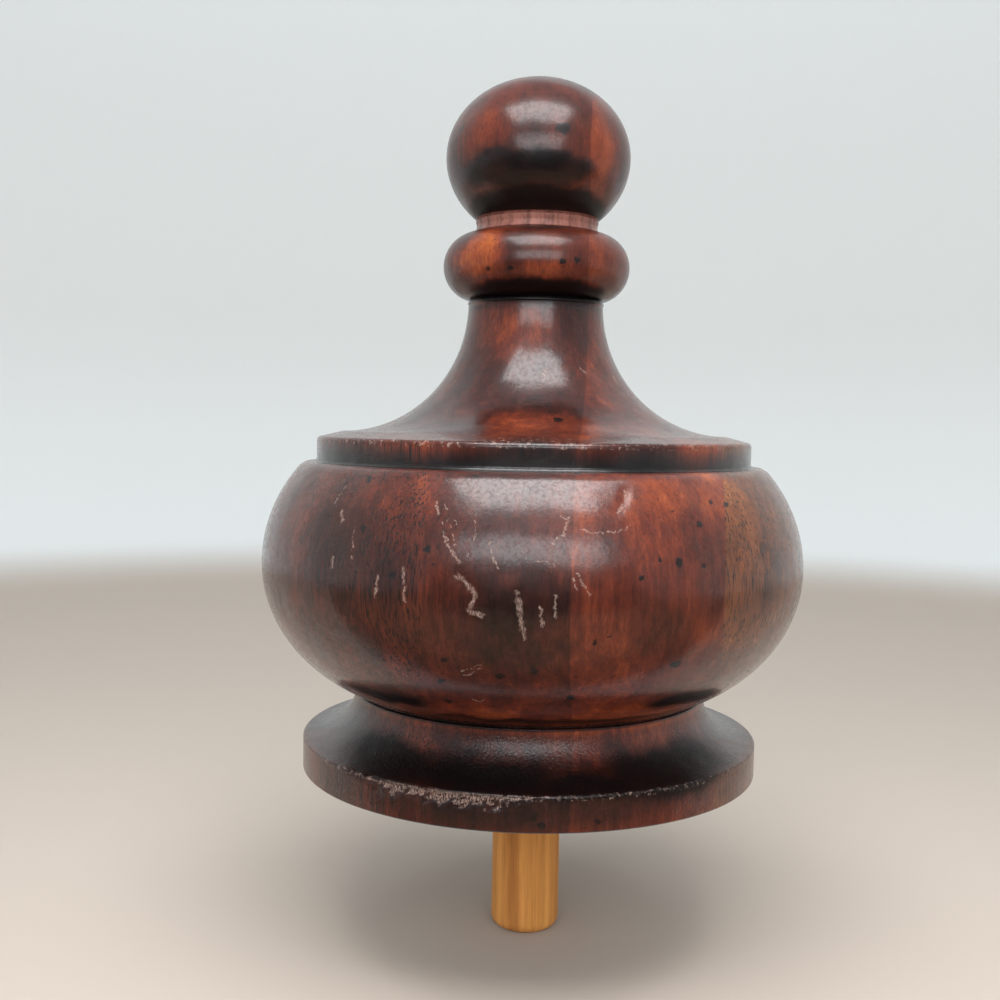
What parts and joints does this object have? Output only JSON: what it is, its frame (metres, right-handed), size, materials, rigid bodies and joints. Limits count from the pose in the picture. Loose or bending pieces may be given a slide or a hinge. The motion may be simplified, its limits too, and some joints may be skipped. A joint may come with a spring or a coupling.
{
  "type": "curtain rod finial",
  "caption": "Turned hardwood finial: a ball, collar and bead on a flared neck, over a lip, a wide rounded belly and a coved foot, with a plain wooden dowel below for fixing.",
  "frame": {"origin": "on the turning axis, in the plane of the flat underside that seats against the end of the rod", "axes": "+Z along the turning axis, from the underside up through the belly and neck to the ball; the dowel runs to -Z; -Y is the side the picture shows"},
  "size_m": [0.099, 0.099, 0.1577],
  "materials": {
    "lacquered_wood": "dark mahogany-red stain with darker glaze in the grooves, glossy lacquer, distressed with scratches, specks and worn edges",
    "dowel_wood": "bare straight-grained pale wood, matt"
  },
  "bodies": {
    "root": {"finial_body": "lacquered_wood", "mounting_dowel": "dowel_wood"}
  },
  "joints": []
}
